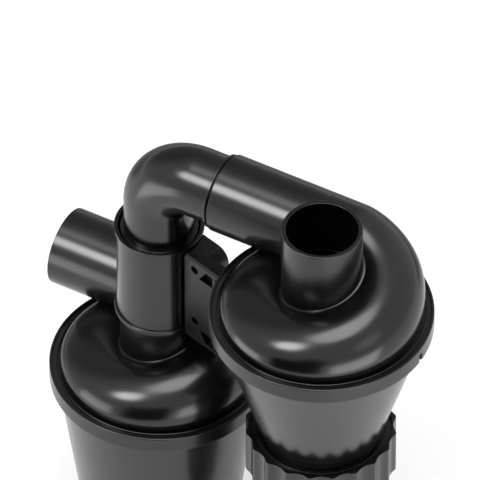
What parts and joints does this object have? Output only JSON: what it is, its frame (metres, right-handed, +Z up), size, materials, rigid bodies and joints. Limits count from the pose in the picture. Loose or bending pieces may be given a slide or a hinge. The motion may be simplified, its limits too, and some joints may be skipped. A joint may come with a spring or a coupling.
{
  "type": "two-stage cyclone dust separator",
  "caption": "Small two-stage cyclone dust separator in black moulded plastic: tapered bin, elbow, conical second stage and screw-on dust jar.",
  "frame": {"origin": "centre of the first stage's base, on the floor", "axes": "+X along the inlet tubes, the way the air enters; +Z up, along the cyclones' axes"},
  "size_m": [0.2934, 0.1768, 0.3672],
  "materials": {
    "black_plastic": "semi-gloss moulded black",
    "satin_plastic": "satin moulded black",
    "seal_rubber": "matte black rubber",
    "screw_steel": "blackened steel"
  },
  "bodies": {
    "root": {"bracket_arm": "black_plastic", "bracket_screws": "screw_steel", "collar_nut": "satin_plastic", "cone_flange": "black_plastic", "coupling_sleeve": "black_plastic", "dust_jar_base": "black_plastic", "dust_jar_hoop": "satin_plastic", "dust_jar_wall": "black_plastic", "elbow": "black_plastic", "elbow_stop": "black_plastic", "first_stage_base": "black_plastic", "first_stage_body": "black_plastic", "first_stage_body_flange": "satin_plastic", "first_stage_clamp_band": "satin_plastic", "first_stage_hoop": "satin_plastic", "first_stage_inlet_tube": "black_plastic", "first_stage_lid_flange": "satin_plastic", "first_stage_lid_gasket": "seal_rubber", "first_stage_outlet_tube": "black_plastic", "first_stage_roof": "black_plastic", "jar_seal": "seal_rubber", "second_stage_body_flange": "satin_plastic", "second_stage_clamp_band": "satin_plastic", "second_stage_cone": "black_plastic", "second_stage_inlet_tube": "black_plastic", "second_stage_lid_flange": "satin_plastic", "second_stage_lid_gasket": "seal_rubber", "second_stage_outlet_tube": "black_plastic", "second_stage_roof": "black_plastic", "sleeve_tab": "black_plastic"}
  },
  "joints": []
}
